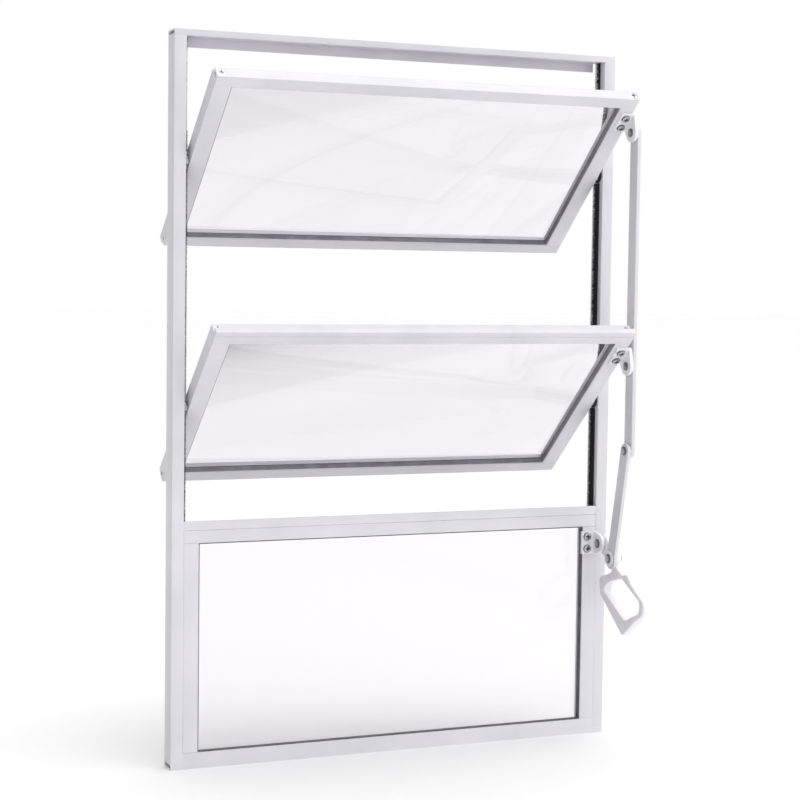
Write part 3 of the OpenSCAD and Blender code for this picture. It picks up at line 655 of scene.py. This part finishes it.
def rounded_outline(corners):
    """Closed outline through arcs that round each corner, resampled at even steps, in metres.

    The arc's centre lies on the bisector at radius over the sine of half the corner's angle, and
    it starts and ends at radius over the tangent of that half angle from the corner.
    """
    at = np.array(corners)[:, :2]
    points = []
    for i, (_, _, radius) in enumerate(corners):
        here = at[i]
        to_last = at[i - 1] - here
        to_next = at[(i + 1) % len(at)] - here
        to_last, to_next = to_last / np.linalg.norm(to_last), to_next / np.linalg.norm(to_next)
        bend = math.acos(float(np.clip(to_last @ to_next, -1, 1))) / 2
        middle = here + (to_last + to_next) / np.linalg.norm(to_last + to_next) * radius / math.sin(bend)
        first = here + to_last * radius / math.tan(bend) - middle
        last = here + to_next * radius / math.tan(bend) - middle
        start = math.atan2(first[1], first[0])
        sweep = (math.atan2(last[1], last[0]) - start + 3 * math.pi) % (2 * math.pi) - math.pi
        turn = start + sweep * np.linspace(0, 1, 9)
        points.append(middle + radius * np.stack([np.cos(turn), np.sin(turn)], -1))
    line = np.concatenate(points) / 1000
    line = np.concatenate([line, line[:1]])
    length = np.concatenate([[0], np.cumsum(np.linalg.norm(np.diff(line, axis=0), axis=1))])
    even = np.linspace(0, length[-1], int(length[-1] / OUTLINE_STEP), endpoint=False)
    return np.stack([np.interp(even, length, line[:, k]) for k in (0, 1)], -1)


def inset_rings(outline, inward, edge, back, front):
    """Rings of the outline from back to front, drawn in along a quarter circle at both edges.

    inward is 1 for the outside of the casting and -1 for its hole. back gives the local depth of
    the rear face, and front is the depth of the face that is flat.
    """
    ahead, behind = np.roll(outline, -1, 0), np.roll(outline, 1, 0)
    along = ahead - behind
    normal = np.stack([along[:, 1], -along[:, 0]], -1)
    normal /= np.linalg.norm(normal, axis=1, keepdims=True)
    area = 0.5 * np.sum(outline[:, 0] * ahead[:, 1] - ahead[:, 0] * outline[:, 1])
    normal *= np.sign(area) * inward
    turn = np.linspace(0, np.pi / 2, EDGE_STEPS)
    rings = []
    for end in (0, 1):
        for t in turn if end == 0 else turn[::-1]:
            drawn = outline - normal * edge * (1 - np.sin(t))
            depth = edge * (1 - np.cos(t))
            x = back(drawn) + depth if end == 0 else np.full(len(drawn), front - depth)
            rings.append(np.concatenate([x[:, None], drawn], 1))
    return np.array(rings)


def cast_lever():
    """The rounded outside and hole, closed by flat faces, turned and set on the hub's pivot."""
    def back(at):
        return -GRIP_EXTRA * smooth_step((GRIP_FROM - at[:, 1]) / (GRIP_FROM - GRIP_FULL))

    outside = inset_rings(rounded_outline(LEVER_OUTLINE), 1, LEVER_EDGE, back, LEVER_THICK)
    hole = inset_rings(rounded_outline(FINGER_HOLE), -1, HOLE_EDGE, back, LEVER_THICK)
    points = np.concatenate([outside.reshape(-1, 3), hole.reshape(-1, 3)])
    faces = [ring_faces(len(outside), outside.shape[1]),
             ring_faces(len(hole), hole.shape[1]) + outside.shape[0] * outside.shape[1]]
    faces = [list(f) for f in np.concatenate(faces)]
    for ring in (0, -1):
        loops = [[Vector(p) for p in part[ring][:, 1:]] for part in (outside, hole)]
        first = np.arange(outside[ring].shape[0]) + (ring % len(outside)) * outside.shape[1]
        second = (np.arange(hole[ring].shape[0]) + (ring % len(hole)) * hole.shape[1]
                  + outside.shape[0] * outside.shape[1])
        index = np.concatenate([first, second])
        faces += [list(index[list(t)]) for t in tessellate_polygon([[p.to_3d() for p in l] for l in loops])]
    pivot = next(j["pos_m"] for j in frame["joints"] if j["child"] == "lever")
    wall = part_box("lever")[1].x - LEVER_THICK
    turn = math.radians(LEVER_TURN)
    y = points[:, 1] * math.cos(turn) - points[:, 2] * math.sin(turn) + pivot[1]
    z = points[:, 1] * math.sin(turn) + points[:, 2] * math.cos(turn) + pivot[2]
    piece = grid_mesh("lever_casting", np.stack([points[:, 0] + wall, y, z], -1), faces)
    finish_surface(piece)
    return piece


dress(cast_lever(), "lever", casting)


# ---------------------------------------------------------------- studio
# A pale floor under a soft surround that is brightest above and on the room side and dark to
# the left, with one large soft light from above on the room side.

CAMERA_PLACE = (-0.6285, -1.4874, 0.4023)
CAMERA_TURN = 23.0
CAMERA_DOWN = 3.616
CAMERA_ROLL = 0.769
CAMERA_LENS = 85.52
FLOOR_SIZE = 40.0
FLOOR_COLOUR = "#F3F3F3"
FRONT_GLOW = {"From Min": -1.0, "From Max": 0.2, "To Min": 1.15, "To Max": 1.0}
LEFT_DIM = {"From Min": -0.95, "From Max": 0.05, "To Min": 0.12, "To Max": 1.0}
TOP_GLOW = {"From Min": 0.2, "From Max": 0.9, "To Min": 1.0, "To Max": 1.5}
LAMP_PLACE = (0.3, -0.9, 2.6)
LAMP_SIZE = (2.4, 1.6)
LAMP_POWER = 14


def look(turn, down, roll):
    """Rotation whose third axis points back from a direction turned from +Y towards +X."""
    a, e, r = (math.radians(v) for v in (turn, down, roll))
    ahead = Vector((math.sin(a) * math.cos(e), math.cos(a) * math.cos(e), -math.sin(e)))
    level = Vector((math.cos(a), -math.sin(a), 0))
    above = level.cross(ahead)
    right = level * math.cos(r) + above * math.sin(r)
    top = above * math.cos(r) - level * math.sin(r)
    return Matrix((right, top, -ahead)).transposed()


lens = bpy.data.cameras.new("camera")
lens.lens = CAMERA_LENS
lens.sensor_width = 36
lens.clip_end = 100
camera = bpy.data.objects.new("camera", lens)
camera.matrix_world = Matrix.Translation(CAMERA_PLACE) @ look(CAMERA_TURN, CAMERA_DOWN, CAMERA_ROLL).to_4x4()
bpy.context.scene.collection.objects.link(camera)
bpy.context.scene.camera = camera

floor_mesh = bpy.data.meshes.new("floor")
reach = FLOOR_SIZE / 2
floor_mesh.from_pydata([(-reach, -reach, 0), (reach, -reach, 0), (reach, reach, 0), (-reach, reach, 0)],
                       [], [(0, 1, 2, 3)])
floor = bpy.data.objects.new("floor", floor_mesh)
bpy.context.scene.collection.objects.link(floor)
paper, paper_tree, paper_shader, _ = new_material("floor_paper")
paper_shader.inputs["Base Color"].default_value = linear(FLOOR_COLOUR)
paper_shader.inputs["Roughness"].default_value = 1.0
paper_shader.inputs["Specular IOR Level"].default_value = 0.0
floor_mesh.materials.append(paper)

world = bpy.data.worlds.new("soft_surround")
bpy.context.scene.world = world
world.use_nodes = True
sky = world.node_tree
facing = add(sky, "ShaderNodeTexCoord").outputs["Generated"]
parts = add(sky, "ShaderNodeSeparateXYZ", Vector=facing)
front_glow = add(sky, "ShaderNodeMapRange", FRONT_GLOW, Value=parts.outputs["Y"])
left_dim = add(sky, "ShaderNodeMapRange", LEFT_DIM, Value=parts.outputs["X"])
above = add(sky, "ShaderNodeMapRange", TOP_GLOW, Value=parts.outputs["Z"])
level = add(sky, "ShaderNodeMath", {"operation": "MULTIPLY"}, _0=front_glow.outputs["Result"],
            _1=left_dim.outputs["Result"])
product = add(sky, "ShaderNodeMath", {"operation": "MULTIPLY"}, _0=level.outputs["Value"],
              _1=above.outputs["Result"])
sky.links.new(product.outputs["Value"], sky.nodes["Background"].inputs["Strength"])
sky.nodes["Background"].inputs["Color"].default_value = linear("#FFFFFF")

lamp_data = bpy.data.lights.new("overhead", "AREA")
lamp_data.shape = "RECTANGLE"
lamp_data.size, lamp_data.size_y = LAMP_SIZE
lamp_data.energy = LAMP_POWER
lamp = bpy.data.objects.new("overhead", lamp_data)
lamp.matrix_world = Matrix.Translation(LAMP_PLACE) @ look(-14, 70, 0).to_4x4()
bpy.context.scene.collection.objects.link(lamp)
bpy.context.scene.view_settings.view_transform = "Standard"
